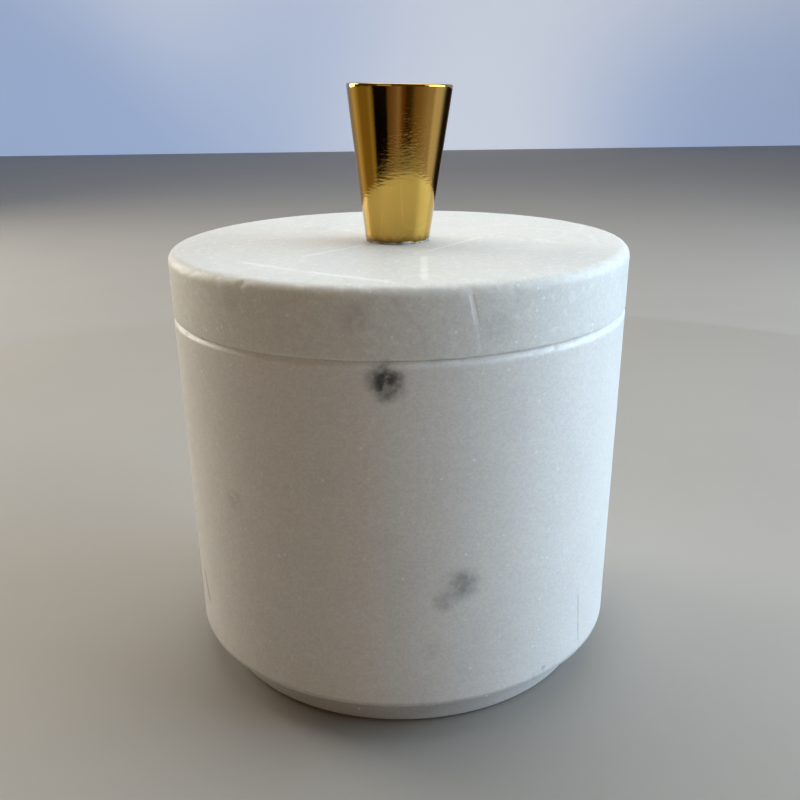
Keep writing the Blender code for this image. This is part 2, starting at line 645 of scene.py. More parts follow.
    def blend(self, factor: Value, first: Value, second: Value, mode: str = 'MIX') -> bpy.types.NodeSocket:
        """Mix two colours.

        Args:
            factor: share of the second colour.
            first: the first colour.
            second: the second colour.
            mode: how they are mixed.

        Returns:
            The mixed colour's socket.
        """
        node = self.add('ShaderNodeMix', data_type='RGBA', blend_type=mode)
        self.feed(node.inputs[0], factor)
        self.feed(node.inputs[6], first)
        self.feed(node.inputs[7], second)
        return node.outputs[2]

    def shake(self, vector: Value, size: Value, amount: Value, detail: float = 2.0) -> bpy.types.NodeSocket:
        """Push a place about by a solid noise.

        Args:
            vector: the place.
            size: size of the noise's swells, in metres.
            amount: how far a place is pushed, in metres.
            detail: octaves in the noise.

        Returns:
            The pushed place's socket.
        """
        noise = self.noise(vector, self.over(1.0, size), detail)
        centered = self.vector('SUBTRACT', noise.outputs['Color'], (0.5, 0.5, 0.5)).outputs[0]
        push = self.vector('SCALE', centered, self.times(amount, 2.0)).outputs[0]
        return self.vector('ADD', vector, push).outputs[0]

    def use(self, group: bpy.types.NodeTree, **values: Value) -> bpy.types.Node:
        """Place a node group.

        Args:
            group: the shared effect.
            values: what feeds each of its inputs.

        Returns:
            The group's node.
        """
        node = self.add('ShaderNodeGroup', node_tree=group)
        for name, value in values.items():
            self.feed(node.inputs[name], value)
        return node


class Effect:
    """A shared effect: one shader node group, with its inputs and outputs named."""

    SOCKETS = {"value": 'NodeSocketFloat', "vector": 'NodeSocketVector', "colour": 'NodeSocketColor'}

    def __init__(self, name: str, inputs: dict[str, str], outputs: dict[str, str]) -> None:
        """Make an empty group.

        Args:
            name: the group's name.
            inputs: each input's name and kind.
            outputs: each output's name and kind.
        """
        self.tree = bpy.data.node_groups.new(name, 'ShaderNodeTree')
        for socket, kind in inputs.items():
            self.tree.interface.new_socket(socket, in_out='INPUT', socket_type=self.SOCKETS[kind])
        for socket, kind in outputs.items():
            self.tree.interface.new_socket(socket, in_out='OUTPUT', socket_type=self.SOCKETS[kind])
        self.wiring = Wiring(self.tree)
        self.given = self.wiring.add('NodeGroupInput').outputs
        self.result = self.wiring.add('NodeGroupOutput').inputs

    def give(self, **values: bpy.types.NodeSocket) -> bpy.types.NodeTree:
        """Link the group's outputs.

        Args:
            values: what feeds each of them.

        Returns:
            The finished group.
        """
        for name, value in values.items():
            self.wiring.feed(self.result[name], value)
        return self.tree


def crystal_effect() -> bpy.types.NodeTree:
    """Build the sugary crystals: a tone for each crystal, a few that flash, and their relief.

    Returns:
        The node group.
    """
    effect = Effect(
        "crystals", {"Place": "vector", "Size": "value"},
        {"Tone": "value", "Flash": "value", "Relief": "value"},
    )
    wire, place = effect.wiring, effect.given["Place"]
    per_metre = wire.over(1.0, effect.given["Size"])
    coarse = wire.lots(wire.cells(place, per_metre))
    fine = wire.lots(wire.cells(place, wire.times(per_metre, 2.6)))
    rare = wire.cells(place, wire.times(per_metre, 0.34))
    chosen = wire.spread(wire.lots(rare)[0], 0.93, 0.97)
    core = wire.spread(rare.outputs['Distance'], 0.14, 0.32, 1.0, 0.0)
    return effect.give(
        Tone=wire.plus(wire.times(coarse[0], 0.6), wire.times(fine[0], 0.4)),
        Flash=wire.times(chosen, core),
        Relief=wire.plus(wire.times(coarse[2], 0.5), wire.times(fine[2], 0.5)),
    )


def cloud_effect() -> bpy.types.NodeTree:
    """Build the soft clouding that drifts through the stone.

    Returns:
        The node group.
    """
    effect = Effect(
        "clouding", {"Place": "vector", "Size": "value", "Start": "value", "Full": "value"},
        {"Mask": "value"},
    )
    wire, given, size = effect.wiring, effect.given, effect.given["Size"]
    place = wire.shake(given["Place"], wire.times(size, 1.4), wire.times(size, 0.6))
    noise = wire.noise(place, wire.over(1.0, size), 5.0, 0.55)
    return effect.give(Mask=wire.spread(noise.outputs['Fac'], given["Start"], given["Full"]))


def vein_effect() -> bpy.types.NodeTree:
    """Build the thin veins that wander through the stone, fade out and come back.

    Returns:
        The node group.
    """
    effect = Effect(
        "veining", {"Place": "vector", "Size": "value", "Width": "value", "Cover": "value"},
        {"Mask": "value"},
    )
    wire, given, size = effect.wiring, effect.given, effect.given["Size"]
    place = wire.shake(given["Place"], wire.times(size, 0.7), wire.times(size, 0.25), 3.0)
    noise = wire.noise(place, wire.over(1.0, size), 1.0, 0.4)
    off_ridge = wire.math('ABSOLUTE', wire.minus(noise.outputs['Fac'], 0.5))
    line = wire.spread(off_ridge, 0.0, given["Width"], 1.0, 0.0)
    patch = wire.noise(given["Place"], wire.over(0.8, size), 2.0, 0.5)
    shown = wire.spread(patch.outputs['Fac'], given["Cover"], wire.plus(given["Cover"], 0.12))
    return effect.give(Mask=wire.times(line, shown))


def spot_effect() -> bpy.types.NodeTree:
    """Build one mottled patch of darker mineral around a point.

    Returns:
        The node group.
    """
    effect = Effect(
        "mineral spot", {"Place": "vector", "Centre": "vector", "Radius": "value", "Mottle": "value"},
        {"Mask": "value"},
    )
    wire, given, radius = effect.wiring, effect.given, effect.given["Radius"]
    place = wire.shake(given["Place"], wire.times(radius, 0.8), wire.times(radius, 0.35), 4.0)
    away = wire.vector('DISTANCE', place, given["Centre"]).outputs['Value']
    body = wire.spread(wire.over(away, radius), 0.25, 1.05, 1.0, 0.0)
    noise = wire.noise(given["Place"], wire.over(2.2, radius), 3.0, 0.6)
    mottle = wire.spread(noise.outputs['Fac'], 0.40, 0.62)
    kept = wire.minus(1.0, wire.times(given["Mottle"], mottle))
    return effect.give(Mask=wire.times(body, kept))


def stroke_effect() -> bpy.types.NodeTree:
    """Build one vein or hairline that runs between two points.

    Returns:
        The node group.
    """
    effect = Effect(
        "stroke",
        {"Place": "vector", "Start": "vector", "End": "vector", "Width": "value", "Wander": "value"},
        {"Mask": "value"},
    )
    wire, given = effect.wiring, effect.given
    place = wire.shake(given["Place"], wire.times(given["Wander"], 6.0), given["Wander"], 4.0)
    run = wire.vector('SUBTRACT', given["End"], given["Start"]).outputs[0]
    offset = wire.vector('SUBTRACT', place, given["Start"]).outputs[0]
    reach = wire.vector('DOT_PRODUCT', offset, run).outputs['Value']
    whole = wire.vector('DOT_PRODUCT', run, run).outputs['Value']
    along = wire.math('DIVIDE', reach, whole, clamp=True)
    foot = wire.vector('ADD', given["Start"], wire.vector('SCALE', run, along).outputs[0]).outputs[0]
    away = wire.vector('DISTANCE', place, foot).outputs['Value']
    line = wire.spread(away, wire.times(given["Width"], 0.25), given["Width"], 1.0, 0.0)
    first_end = wire.spread(along, 0.0, 0.12, 0.25, 1.0)
    last_end = wire.spread(along, 0.85, 1.0, 1.0, 0.25)
    return effect.give(Mask=wire.times(line, wire.times(first_end, last_end)))


def turning_effect() -> bpy.types.NodeTree:
    """Build the fine rings left by the lathe, with a little wander.

    Returns:
        The node group.
    """
    effect = Effect(
        "turning marks", {"Place": "vector", "Pitch": "value", "Wander": "value"},
        {"Relief": "value", "Tone": "value"},
    )
    wire, given, place = effect.wiring, effect.given, effect.given["Place"]
    drift = wire.noise(place, 90.0, 2.0)
    pushed = wire.times(wire.minus(drift.outputs['Fac'], 0.5), given["Wander"])
    travel = wire.plus(wire.plus(wire.axis_distance(place), wire.split(place)['Z']), pushed)
    line = wire.add('ShaderNodeCombineXYZ')
    wire.feed(line.inputs[0], wire.over(travel, given["Pitch"]))
    fine = wire.noise(line.outputs[0], 1.0, 3.0, 0.6)
    return effect.give(Relief=fine.outputs['Fac'], Tone=wire.spread(fine.outputs['Fac'], 0.35, 0.65))


def handling_effect() -> bpy.types.NodeTree:
    """Build the faint smears of wax and handling that change the gloss, and specks of dust.

    Returns:
        The node group.
    """
    effect = Effect("handling", {"Place": "vector", "Size": "value"}, {"Smear": "value", "Dust": "value"})
    wire, place, size = effect.wiring, effect.given["Place"], effect.given["Size"]
    per_metre = wire.over(1.0, size)
    smear = wire.noise(wire.shake(place, size, size), per_metre, 3.0, 0.5)
    dust = wire.noise(place, wire.times(per_metre, 40.0), 2.0, 0.6)
    return effect.give(
        Smear=wire.spread(smear.outputs['Fac'], 0.42, 0.66),
        Dust=wire.spread(dust.outputs['Fac'], 0.62, 0.72),
    )


class Effects:
    """The shared node groups, each built once."""

    def __init__(self) -> None:
        """Build every group."""
        self.crystals = crystal_effect()
        self.clouding = cloud_effect()
        self.veining = vein_effect()
        self.spot = spot_effect()
        self.stroke = stroke_effect()
        self.turning = turning_effect()
        self.handling = handling_effect()


# ---------------------------------------------------------------------------------------------
# Finishes
# ---------------------------------------------------------------------------------------------


def start_material(name: str) -> tuple[bpy.types.Material, Wiring, bpy.types.Node, bpy.types.NodeSocket]:
    """Make a material that holds just a Principled shader.

    Args:
        name: the material's name.

    Returns:
        The material, its wiring, the shader and the piece's own coordinates.
    """
    material = bpy.data.materials.new(name)
    material.use_nodes = True
    wire = Wiring(material.node_tree)
    shader = material.node_tree.nodes["Principled BSDF"]
    place = wire.add('ShaderNodeTexCoord').outputs['Object']
    return material, wire, shader, place


def add_bump(wire: Wiring, height: bpy.types.NodeSocket, depth: float,
             under: Optional[bpy.types.NodeSocket] = None) -> bpy.types.NodeSocket:
    """Wire a Bump node and return its normal.

    Args:
        wire: the material's wiring.
        height: relief from 0 to 1.
        depth: the relief's full depth in metres.
        under: a normal that this bump adds to.

    Returns:
        The bumped normal's socket.
    """
    bump = wire.add('ShaderNodeBump')
    bump.inputs['Strength'].default_value = 1.0
    bump.inputs['Distance'].default_value = depth
    wire.feed(bump.inputs['Height'], height)
    if under is not None:
        wire.feed(bump.inputs['Normal'], under)
    return bump.outputs['Normal']


@dataclass(frozen=True)
class Spot:
    """A patch of grey mineral at a place in the stone."""

    centre: Point
    radius: float
    darkness: float
    mottle: float = 0.6


@dataclass(frozen=True)
class Stroke:
    """A thin vein between two places in the stone, pale or grey."""

    start: Point
    end: Point
    width: float
    strength: float
    pale: bool = True
    wander: float = 0.5 * MM
    cut: float = 0.0                 # depth in millimetres, where the vein is open as a crack


@dataclass(frozen=True)
class Marble:
    """White marble with sugary crystals, faint clouding and its own marks."""

    name: str
    effects: Effects
    spots: tuple[Spot, ...] = ()
    strokes: tuple[Stroke, ...] = ()
    raw_radius: float = 0.0          # stone nearer to the axis than this is left unpolished
    raw_height: float = 0.0          # and only below this height
    light: Point = (0.83, 0.82, 0.80)
    shade: Point = (0.71, 0.71, 0.71)
    grey: Point = (0.08, 0.085, 0.09)
    milk: Point = (0.96, 0.96, 0.94)
    crystal_size: float = 0.42 * MM
    crystal_relief: float = 0.008 * MM
    turning_relief: float = 0.02 * MM
    polish: float = 0.38
    veining: float = 0.10
    fleck: float = 0.10              # how strongly small milky flecks show
    foot_shade_height: float = -1.0      # painted shade: stone below this height is darkened like the shadow under the ledge
    edge_highlight_height: float = -1.0     # height of an outer edge along which a pale band is painted as its highlight

    def build(self) -> bpy.types.Material:
        """Wire the stone.

        Returns:
            Its material.
        """
        material, wire, shader, place = start_material(self.name)
        crystals = wire.use(self.effects.crystals, Place=place, Size=self.crystal_size)
        colour = self.wire_clouds(wire, place)
        colour = self.wire_flecks_and_painted_light(wire, place, colour)
        colour, groove = self.wire_marks(wire, place, colour)
        grain = wire.spread(crystals.outputs['Tone'], 0.15, 0.85, 0.93, 1.055, smooth=False)
        colour = wire.blend(1.0, colour, grain, 'MULTIPLY')
        # painted glint: the few crystals that flash are painted white, besides being made glossier
        colour = wire.blend(crystals.outputs['Flash'], colour, (1.0, 1.0, 1.0))
        wire.feed(shader.inputs['Base Color'], colour)
        wire.feed(shader.inputs['Normal'], self.wire_relief(wire, place, crystals, groove))
        wire.feed(shader.inputs['Roughness'], self.wire_gloss(wire, place, crystals))
        shader.inputs['IOR'].default_value = 1.5
        shader.inputs['Subsurface Weight'].default_value = 0.45
        shader.inputs['Subsurface Radius'].default_value = (1.0, 0.88, 0.72)
        shader.inputs['Subsurface Scale'].default_value = 2.6 * MM
        return material

    def wire_clouds(self, wire: Wiring, place: bpy.types.NodeSocket) -> bpy.types.NodeSocket:
        """Wire the stone's ground: its clouding and its own thin veins.

        Args:
            wire: the material's wiring.
            place: the piece's own coordinates.

        Returns:
            The ground's colour.
        """
        wide = wire.use(self.effects.clouding, Place=place, Size=26.0 * MM, Start=0.40, Full=0.72)
        near = wire.use(self.effects.clouding, Place=place, Size=9.0 * MM, Start=0.50, Full=0.85)
        cloud = wire.plus(
            wire.times(wide.outputs['Mask'], 0.32), wire.times(near.outputs['Mask'], 0.12), clamp=True,
        )
        colour = wire.blend(cloud, self.light, self.shade)
        pale = wire.use(self.effects.veining, Place=place, Size=30.0 * MM, Width=0.012, Cover=0.52)
        colour = wire.blend(wire.times(pale.outputs['Mask'], self.veining), colour, self.milk)
        elsewhere = wire.vector('ADD', place, (0.31, 0.17, 0.05)).outputs[0]
        dark = wire.use(self.effects.veining, Place=elsewhere, Size=44.0 * MM, Width=0.006, Cover=0.63)
        return wire.blend(wire.times(dark.outputs['Mask'], 0.14), colour, self.grey)

    def wire_flecks_and_painted_light(self, wire: Wiring, place: bpy.types.NodeSocket,
                  colour: bpy.types.NodeSocket) -> bpy.types.NodeSocket:
        """Wire the milky flecks, the painted shade on the foot and the painted highlight along an edge over a
        colour.

        Args:
            wire: the material's wiring.
            place: the piece's own coordinates.
            colour: the stone's colour so far.

        Returns:
            The colour with its wear.
        """
        flecks = wire.use(self.effects.clouding, Place=place, Size=1.7 * MM, Start=0.50, Full=0.72)
        colour = wire.blend(wire.times(flecks.outputs['Mask'], self.fleck), colour, self.milk)
        height = wire.split(place)['Z']
        # painted shade: from a little above the ledge down over the foot the stone is blended towards a
        # darker grey, for the shadow under the overhang
        foot_shade = wire.spread(height, self.foot_shade_height - 0.5 * MM, self.foot_shade_height + 0.2 * MM, 0.55, 0.0)
        colour = wire.blend(foot_shade, colour, tuple(0.62 * channel for channel in self.shade))
        # painted highlight: a ragged pale band along the outer edge at that height, where the rim's chamfer
        # catches the light
        uneven = wire.noise(place, 260.0, 3.0)
        from_edge = wire.math('ABSOLUTE', wire.minus(height, self.edge_highlight_height))
        from_edge = wire.plus(from_edge, wire.times(uneven.outputs['Fac'], 1.0 * MM))
        edge_highlight = wire.spread(from_edge, 0.45 * MM, 1.75 * MM, 1.0, 0.0)
        return wire.blend(edge_highlight, colour, self.milk)

    def wire_marks(self, wire: Wiring, place: bpy.types.NodeSocket,
                   colour: bpy.types.NodeSocket) -> tuple[bpy.types.NodeSocket, Value]:
        """Wire the stone's own strokes and spots over a colour.

        Args:
            wire: the material's wiring.
            place: the piece's own coordinates.
            colour: the stone's colour so far.

        Returns:
            The colour with its marks, and how deep the open cracks are, in millimetres.
        """
        groove: Value = 0.0
        for stroke in self.strokes:
            line = wire.use(
                self.effects.stroke, Place=place, Start=stroke.start, End=stroke.end, Width=stroke.width,
                Wander=stroke.wander,
            ).outputs['Mask']
            tint = self.milk if stroke.pale else self.grey
            colour = wire.blend(wire.times(line, stroke.strength), colour, tint)
            if stroke.cut > 0.0:
                groove = wire.math('MAXIMUM', groove, wire.times(line, stroke.cut))
        for spot in self.spots:
            patch = wire.use(
                self.effects.spot, Place=place, Centre=spot.centre, Radius=spot.radius, Mottle=spot.mottle,
            ).outputs['Mask']
            colour = wire.blend(wire.times(patch, spot.darkness), colour, self.grey)
        return colour, groove

    def wire_raw(self, wire: Wiring, place: bpy.types.NodeSocket) -> bpy.types.NodeSocket:
        """Wire the mask of the stone that is left unpolished.

        Args:
            wire: the material's wiring.
            place: the piece's own coordinates.

        Returns:
            The mask.
        """
        radius = wire.axis_distance(place)
        within = wire.spread(radius, self.raw_radius, self.raw_radius + 0.3 * MM, 1.0, 0.0)
        height = wire.split(place)['Z']
        below = wire.spread(height, self.raw_height - 0.3 * MM, self.raw_height, 1.0, 0.0)
        return wire.times(within, below)

    def wire_gloss(self, wire: Wiring, place: bpy.types.NodeSocket,
                   crystals: bpy.types.Node) -> bpy.types.NodeSocket:
        """Wire the roughness: smeared, uneven from crystal to crystal, and duller where unpolished.

        Args:
            wire: the material's wiring.
            place: the piece's own coordinates.
            crystals: the crystal effect, as placed in this material.

        Returns:
            The roughness.
        """
        handled = wire.use(self.effects.handling, Place=place, Size=14.0 * MM)
        gloss = wire.spread(
            handled.outputs['Smear'], 0.0, 1.0, self.polish, self.polish + 0.10, smooth=False,
        )
        by_crystal = wire.spread(crystals.outputs['Tone'], 0.0, 1.0, -0.05, 0.05, smooth=False)
        gloss = wire.plus(gloss, by_crystal)
        gloss = wire.plus(gloss, wire.times(self.wire_raw(wire, place), 0.22))
        return wire.math('SUBTRACT', gloss, wire.times(crystals.outputs['Flash'], 0.18), clamp=True)

    def wire_relief(self, wire: Wiring, place: bpy.types.NodeSocket, crystals: bpy.types.Node,
                    groove: Value) -> bpy.types.NodeSocket:
        """Wire the relief of the crystals, the lathe's marks and the open cracks.

        Args:
            wire: the material's wiring.
            place: the piece's own coordinates.
            crystals: the crystal effect, as placed in this material.
            groove: how deep the open cracks are, in millimetres.

        Returns:
            The bumped normal.
        """
        turned = wire.use(self.effects.turning, Place=place, Pitch=0.5 * MM, Wander=0.4 * MM)
        marks = wire.times(turned.outputs['Relief'], wire.plus(0.15, self.wire_raw(wire, place)))
        normal = add_bump(wire, crystals.outputs['Relief'], self.crystal_relief)
        normal = add_bump(wire, marks, self.turning_relief, normal)
        if isinstance(groove, bpy.types.NodeSocket):
            normal = add_bump(wire, wire.times(groove, -1.0), 1.0 * MM, normal)
        return normal


@dataclass(frozen=True)
class Brass:
    """Polished and lacquered brass with fine lathe ripples."""

    name: str
    effects: Effects
    foot_height: float
    light: Point = (0.58, 0.375, 0.088)
    deep: Point = (0.49, 0.30, 0.062)
    tarnish: Point = (0.17, 0.085, 0.02)
    peel_relief: float = 0.014 * MM
    grain_relief: float = 0.002 * MM
    turning_relief: float = 0.0012 * MM

    def build(self) -> bpy.types.Material:
        """Wire the metal.

        Returns:
            Its material.
        """
        material, wire, shader, place = start_material(self.name)
        turned = wire.use(self.effects.turning, Place=place, Pitch=0.16 * MM, Wander=0.9 * MM)
        handled = wire.use(self.effects.handling, Place=place, Size=7.0 * MM)
        at_foot = self.wire_foot(wire, place)
        colour = wire.blend(wire.times(turned.outputs['Tone'], 0.35), self.light, self.deep)
        colour = wire.blend(at_foot, colour, self.tarnish)
        colour = wire.blend(wire.times(self.wire_pits(wire, place), 0.8), colour, self.tarnish)
        wire.feed(shader.inputs['Base Color'], colour)
        gloss = wire.spread(handled.outputs['Smear'], 0.0, 1.0, 0.06, 0.11, smooth=False)
        gloss = wire.plus(gloss, wire.times(at_foot, 0.25))
        gloss = wire.plus(gloss, wire.times(handled.outputs['Dust'], 0.10), clamp=True)
        wire.feed(shader.inputs['Roughness'], gloss)
        squeezed = wire.vector('MULTIPLY', place, (1.0, 1.0, 3.2)).outputs[0]
        peel = wire.noise(squeezed, 640.0, 2.0, 0.5)
        grain = wire.noise(place, 2600.0, 2.0, 0.5)
        normal = add_bump(wire, peel.outputs['Fac'], self.peel_relief)
        normal = add_bump(wire, grain.outputs['Fac'], self.grain_relief, normal)
        normal = add_bump(wire, turned.outputs['Relief'], self.turning_relief, normal)
        wire.feed(shader.inputs['Normal'], normal)
        shader.inputs['Metallic'].default_value = 1.0
        return material

    def wire_foot(self, wire: Wiring, place: bpy.types.NodeSocket) -> bpy.types.NodeSocket:
        """Wire the ragged tarnish just above the knob's foot.

        Args:
            wire: the material's wiring.
            place: the piece's own coordinates.

        Returns:
            The tarnish's mask.
        """
        ragged = wire.noise(place, 900.0, 3.0)
        pushed = wire.times(wire.minus(ragged.outputs['Fac'], 0.5), 2.0 * MM)
        height = wire.plus(wire.split(place)['Z'], pushed)
        return wire.spread(height, self.foot_height, self.foot_height + 1.8 * MM, 0.7, 0.0)

    def wire_pits(self, wire: Wiring, place: bpy.types.NodeSocket) -> bpy.types.NodeSocket:
        """Wire the few pin holes in the lacquer.

        Args:
            wire: the material's wiring.
            place: the piece's own coordinates.

        Returns:
            The pin holes' mask.
        """
        pits = wire.cells(place, 700.0)
        chosen = wire.spread(wire.lots(pits)[0], 0.985, 0.99)
        return wire.times(chosen, wire.spread(pits.outputs['Distance'], 0.05, 0.16, 1.0, 0.0))


@dataclass(frozen=True)
class Steel:
    """Zinc plated steel, turned and a little dull."""

    name: str
    effects: Effects
    light: Point = (0.63, 0.64, 0.63)
    dull: Point = (0.38, 0.39, 0.39)
    turning_relief: float = 0.008 * MM

    def build(self) -> bpy.types.Material:
        """Wire the metal.

        Returns:
            Its material.
        """
        material, wire, shader, place = start_material(self.name)
        turned = wire.use(self.effects.turning, Place=place, Pitch=0.09 * MM, Wander=0.2 * MM)
        handled = wire.use(self.effects.handling, Place=place, Size=2.5 * MM)
        gloss = wire.spread(turned.outputs['Tone'], 0.0, 1.0, 0.26, 0.42, smooth=False)
        wire.feed(shader.inputs['Base Color'], wire.blend(handled.outputs['Smear'], self.light, self.dull))
        wire.feed(shader.inputs['Roughness'], gloss)
        wire.feed(shader.inputs['Normal'], add_bump(wire, turned.outputs['Relief'], self.turning_relief))
        shader.inputs['Metallic'].default_value = 1.0
        return material


@dataclass(frozen=True)
class Rubber:
    """Matt rubber or foam with a fine skin and lint on it."""

    name: str
    effects: Effects
    base: Point
    lint: Point = (0.42, 0.41, 0.39)
    grain: float = 0.25 * MM
    relief: float = 0.03 * MM

    def build(self) -> bpy.types.Material:
        """Wire the rubber.

        Returns:
            Its material.
        """
        material, wire, shader, place = start_material(self.name)
        handled = wire.use(self.effects.handling, Place=place, Size=6.0 * MM)
        cells = wire.cells(place, 1.0 / self.grain)
        worn = tuple(min(1.0, 1.8 * channel + 0.01) for channel in self.base)
        colour = wire.blend(handled.outputs['Smear'], self.base, worn)
        colour = wire.blend(wire.times(handled.outputs['Dust'], 0.35), colour, self.lint)
        gloss = wire.spread(handled.outputs['Smear'], 0.0, 1.0, 0.72, 0.88, smooth=False)
        wire.feed(shader.inputs['Base Color'], colour)
        wire.feed(shader.inputs['Roughness'], gloss)
        wire.feed(shader.inputs['Normal'], add_bump(wire, cells.outputs['Distance'], self.relief))
        return material


@dataclass(frozen=True)
class Cement:
    """Off-white stone cement with crumbs in it."""

    name: str
    effects: Effects
    light: Point = (0.80, 0.78, 0.72)
    dirty: Point = (0.42, 0.38, 0.30)
    crumb_size: float = 0.18 * MM
    relief: float = 0.05 * MM

    def build(self) -> bpy.types.Material:
        """Wire the cement.

        Returns:
            Its material.
        """
        material, wire, shader, place = start_material(self.name)
        crumbs = wire.use(self.effects.crystals, Place=place, Size=self.crumb_size)
        stained = wire.use(self.effects.clouding, Place=place, Size=2.4 * MM, Start=0.42, Full=0.60)
        tone = wire.spread(crumbs.outputs['Tone'], 0.0, 1.0, 0.80, 1.05)
        colour = wire.blend(stained.outputs['Mask'], self.light, self.dirty)
        colour = wire.blend(1.0, colour, tone, 'MULTIPLY')
        wire.feed(shader.inputs['Base Color'], colour)
        wire.feed(shader.inputs['Roughness'], wire.spread(crumbs.outputs['Tone'], 0.0, 1.0, 0.65, 0.90))
        wire.feed(shader.inputs['Normal'], add_bump(wire, crumbs.outputs['Relief'], self.relief))
        return material


# ---------------------------------------------------------------------------------------------
# The jar
# ---------------------------------------------------------------------------------------------


@dataclass
class Jar:
    """The turned stone jar and the pads under its foot."""

    effects: Effects
    sides: int = 512
    wall_rows: int = 29
    rim_rows: int = 6                # the last of those rows is divided again, next to the rim
    cavity_rows: int = 9
    wall: float = 8.0 * MM
    floor: float = 9.0 * MM
    foot_inset: float = 5.2 * MM
    foot_height: float = 6.9 * MM
    pad_squash: float = 0.55 * MM
    rim_rise: float = 0.6 * MM
    rim_chamfer: float = 1.15 * MM
    mouth_rounding: float = 0.6 * MM
    lower_rounding: float = 0.45 * MM
    foot_rounding: float = 0.5 * MM
    corner_rounding: float = 0.5 * MM
    cavity_fillet: float = 5.0 * MM
    wobble: float = 0.10 * MM
    chip_size: float = 1.7 * MM
    chip_depth: float = 0.22 * MM
    foot_shade_band: float = 1.1 * MM    # how far above the ledge the painted shade reaches
    pad_inset: float = 1.2 * MM
    low: Vector = field(init=False)
    high: Vector = field(init=False)

    def __post_init__(self) -> None:
        """Take the jar's place and outer size from the frame."""
        self.low, self.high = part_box("jar_body")

    @property
    def radius(self) -> float:
        """The jar's outer radius."""
        return self.high.x

    @property
    def foot_radius(self) -> float:
        """The foot's outer radius."""
        return self.radius - self.foot_inset

    @property
    def cavity_radius(self) -> float:
        """The cavity's radius."""
        return self.radius - self.wall

    @property
    def underside(self) -> float:
        """Height of the foot's underside, with the jar's weight on its pads."""
        return self.low.z - self.pad_squash

    @property
    def ledge(self) -> float:
        """Height of the step above the foot."""
        return self.low.z + self.foot_height

    @property
    def rim(self) -> float:
        """Height of the rim, which the looks have a little higher than the CAD."""
        return self.high.z + self.rim_rise

    def shape_body(self) -> bpy.types.Object:
        """Model the jar from one cylinder.

        Returns:
            The jar.
        """
        cavity_floor = self.low.z + self.floor
        piece = add_cylinder("marble_jar", self.radius, self.ledge, self.rim, self.sides)
        with Bench(piece) as bench:
            bench.cap(self.rim)
            bench.inset(self.wall)
            bench.extrude(cavity_floor - self.rim)
            bench.rings((self.cavity_radius, cavity_floor))
            bench.bevel(self.cavity_fillet, 8)
            bench.cap(self.ledge)
            bench.inset(self.foot_inset)
            bench.extrude(self.underside - self.ledge)
            bench.rings((self.radius, self.rim))
            bench.bevel(self.rim_chamfer, 5, 0.33)
            bench.rings((self.cavity_radius, self.rim))
            bench.bevel(self.mouth_rounding, 3)
            bench.rings((self.radius, self.ledge))
            bench.bevel(self.lower_rounding, 5)
            bench.rings((self.foot_radius, self.ledge))
            bench.bevel(self.corner_rounding, 3)
            bench.rings((self.foot_radius, self.underside))
            bench.bevel(self.foot_rounding, 4)
            wall_top = self.rim - self.rim_chamfer
            top_row = (self.rim - self.ledge) / (self.wall_rows - 1)
            bench.uprights(self.ledge + self.lower_rounding, wall_top, self.radius, self.radius)
            bench.divide(self.wall_rows - 1)
            bench.uprights(wall_top - top_row, wall_top, self.radius, self.radius)
            bench.divide(self.rim_rows - 1)
            mouth = self.rim - self.mouth_rounding
            bench.uprights(cavity_floor + self.cavity_fillet, mouth, self.cavity_radius, self.cavity_radius)
            bench.divide(self.cavity_rows - 1)
        self.work_by_hand(piece)
        return piece

    def work_by_hand(self, piece: bpy.types.Object) -> None:
        """Give the turned faces the slight unevenness, the small chips and the slope of hand finishing.

        Args:
            piece: the jar.
        """
        outside = self.foot_radius - 2.0 * self.foot_rounding
        lowest = self.underside + self.foot_rounding
        highest = self.rim - 0.05 * MM
        skin = group_vertices(piece, "skin", lambda co: co.xy.length > outside and lowest < co.z < highest)
        displace(piece, soft_texture("hand_turned", 24.0 * MM), self.wobble, 0.5, skin)
        upper = Edge(self.rim, self.rim_chamfer)
        lower = Edge(self.ledge, self.lower_rounding)
        knock_edges(piece, self.radius, upper, lower, self.chip_size, self.chip_depth)
        with Bench(piece) as bench:
            bench.pick(Pick.VERTICES, lambda v: v.co.z > self.rim - 1.2 * self.rim_chamfer)
            bench.slope(SEAM_SLOPE, self.rim)

    def stone(self) -> bpy.types.Material:
        """Dress the jar's stone with the marks that its front shows, and a few more behind.

        Returns:
            The material.
        """
        spots = (
            Spot(mm(-2.6, -50.0, 78.8), 4.5 * MM, 1.0, 0.42),
            Spot(mm(11.7, -48.6, 36.6), 5.0 * MM, 0.52, 0.40),
            Spot(mm(8.0, -49.3, 33.2), 3.2 * MM, 0.34, 0.4),
            Spot(mm(5.6, -49.7, 22.0), 3.0 * MM, 0.12, 0.6),
            Spot(mm(-3.4, -49.9, 47.0), 4.0 * MM, 0.06, 0.6),
            Spot(mm(-15.4, -47.6, 59.0), 5.0 * MM, 0.05, 0.6),
            Spot(mm(-34.0, -36.7, 50.0), 3.4 * MM, 0.16, 0.7),
            Spot(mm(30.2, -39.8, 10.4), 0.9 * MM, 0.45, 0.8),
            Spot(mm(43.0, 26.0, 52.0), 5.2 * MM, 0.40, 0.7),
            Spot(mm(-22.0, 45.0, 24.0), 4.0 * MM, 0.30, 0.7),
        )
        strokes = (
            Stroke(mm(38.2, -32.3, 26.0), mm(39.4, -30.8, 9.8), 0.30 * MM, 0.36, pale=False),
            Stroke(mm(-44.9, -22.0, 17.0), mm(-45.8, -20.0, 25.0), 0.9 * MM, 0.50, pale=False),
            Stroke(mm(-36.0, 34.7, 70.0), mm(-14.0, 48.0, 38.0), 0.7 * MM, 0.55),
            Stroke(mm(48.0, 14.0, 74.0), mm(40.0, 30.0, 30.0), 0.6 * MM, 0.5),
        )
